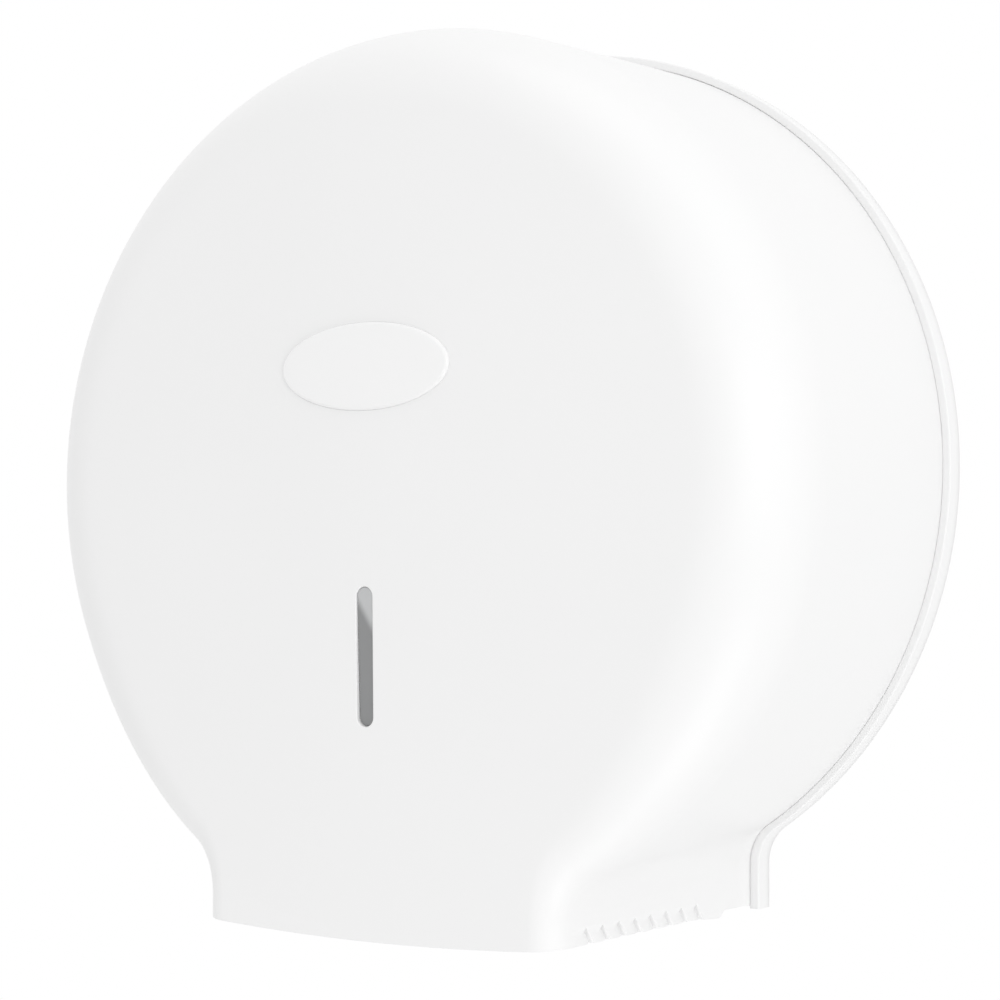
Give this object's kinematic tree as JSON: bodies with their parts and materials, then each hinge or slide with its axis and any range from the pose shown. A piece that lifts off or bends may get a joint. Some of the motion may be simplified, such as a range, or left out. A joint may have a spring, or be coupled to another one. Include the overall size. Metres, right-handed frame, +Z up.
{
  "type": "jumbo toilet roll dispenser",
  "caption": "Round wall-mounted jumbo toilet roll dispenser: white tray, drop-down domed cover with neck, level slot and tear teeth, spinning core hub, key lock on top.",
  "frame": {"origin": "centre of the round part on the wall plane, at the back of the tray", "axes": "+X to the right as seen from the front, +Y into the wall (the cover faces -Y), +Z up"},
  "size_m": [0.27, 0.1151, 0.2728],
  "materials": {
    "tray_plastic": "glossy moulded white",
    "cover_plastic": "glossy moulded white",
    "badge_plastic": "smooth glossy white, bare",
    "hub_plastic": "satin light grey",
    "grey_plastic": "satin grey",
    "bearing_plastic": "satin dark grey",
    "window_clear": "clear smoked strip",
    "foam_pad": "closed-cell adhesive foam",
    "zinc_steel": "bright zinc plated",
    "spring_steel": "ground steel",
    "sheet_steel": "zinc plated sheet",
    "lock_metal": "polished chrome plated"
  },
  "bodies": {
    "base": {"back_plate": "tray_plastic", "spindle_post": "grey_plastic", "spindle_screws": "zinc_steel", "friction_washer": "bearing_plastic", "wave_spring": "spring_steel", "hub_retainer": "zinc_steel", "hub_screw": "zinc_steel", "lock_keeper": "sheet_steel", "keeper_screws": "zinc_steel", "hinge_pin_left": "spring_steel", "hinge_pin_right": "spring_steel"},
    "cover": {"front_cover": "cover_plastic", "badge_plate": "badge_plastic", "badge_pad": "foam_pad", "level_window": "window_clear", "window_rivets": "cover_plastic", "lock_housing": "lock_metal", "lock_nut": "zinc_steel"},
    "lock": {"lock_barrel": "lock_metal", "lock_cam": "sheet_steel", "cam_screw": "zinc_steel"},
    "hub": {"roll_hub": "hub_plastic", "hub_bush_rear": "bearing_plastic", "hub_bush_front": "bearing_plastic", "hub_cap": "hub_plastic"}
  },
  "joints": [
    {"name": "cover_hinge", "type": "hinge", "parent": "base", "child": "cover", "pos_m": [0, -0.009, -0.1285], "axis": [1, 0, 0], "range_deg": [0, 85]},
    {"name": "lock_turn", "type": "hinge", "parent": "cover", "child": "lock", "pos_m": [0, -0.024, 0.125], "axis": [0, 0, -1], "range_deg": [0, 90]},
    {"name": "hub_spin", "type": "hinge", "parent": "base", "child": "hub", "pos_m": [0, -0.055, 0], "axis": [0, -1, 0], "continuous": true}
  ]
}
